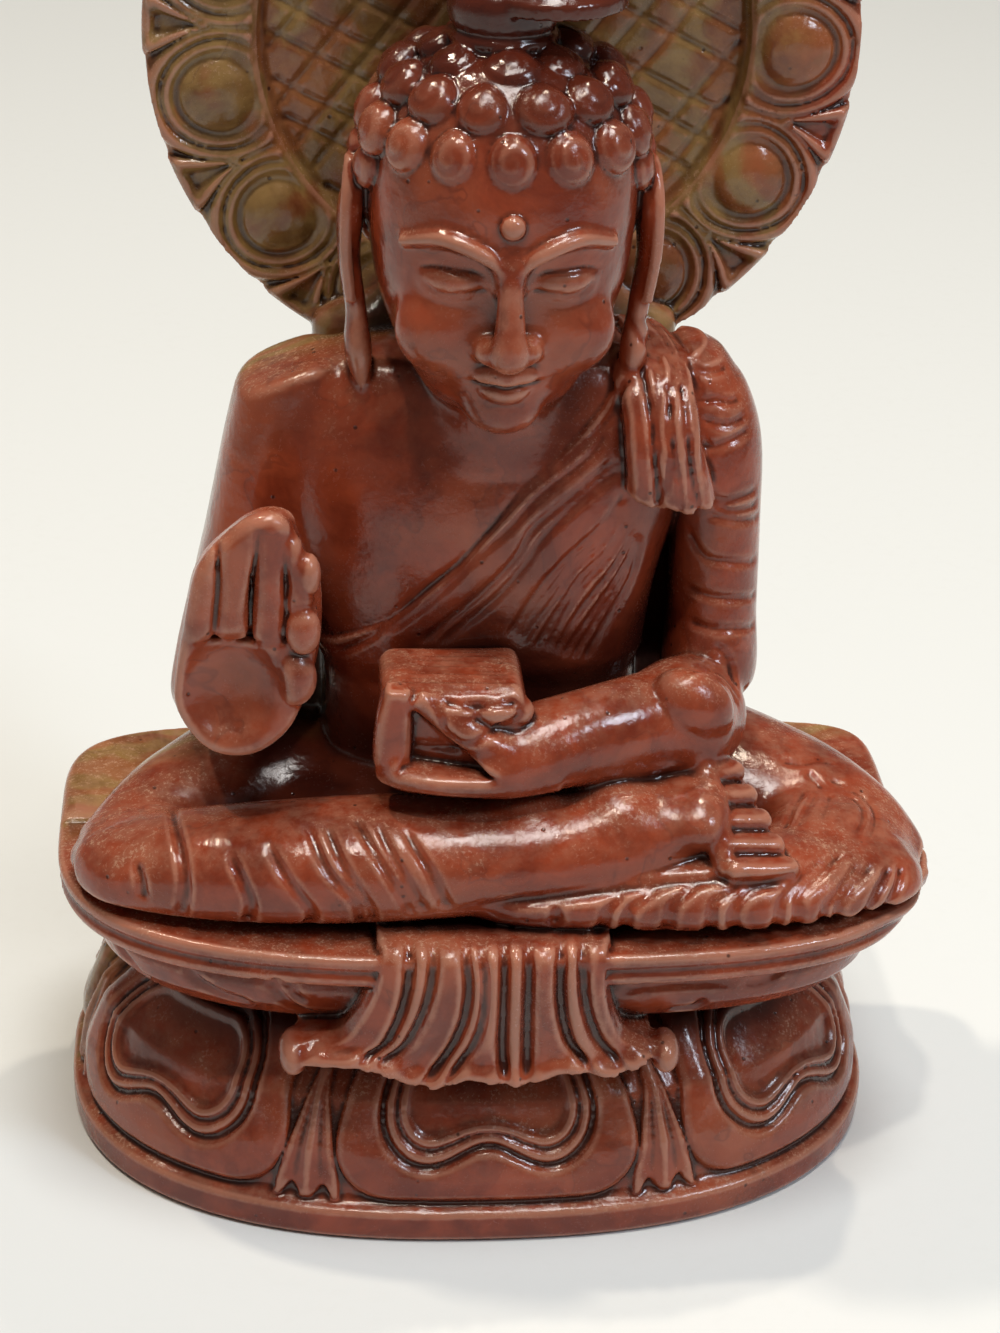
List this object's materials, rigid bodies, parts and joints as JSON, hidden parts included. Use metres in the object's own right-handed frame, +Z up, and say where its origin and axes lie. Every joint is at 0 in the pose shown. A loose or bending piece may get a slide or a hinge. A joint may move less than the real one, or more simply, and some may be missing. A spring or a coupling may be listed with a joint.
{
  "type": "seated figure statue",
  "caption": "Carved stone figure seated cross-legged with a raised palm and a bowl in its lap, on a lotus seat and petalled plinth, before a round halo.",
  "frame": {"origin": "middle of the underside, at the bottom centre of the whole carving's box", "axes": "+Z up, the figure faces -Y, +X is to its left hand's side, which is the viewer's right"},
  "size_m": [0.1046, 0.0594, 0.1744],
  "materials": {
    "waxed_stone": "polished"
  },
  "bodies": {
    "root": {"seated_figure": "waxed_stone"}
  },
  "joints": []
}
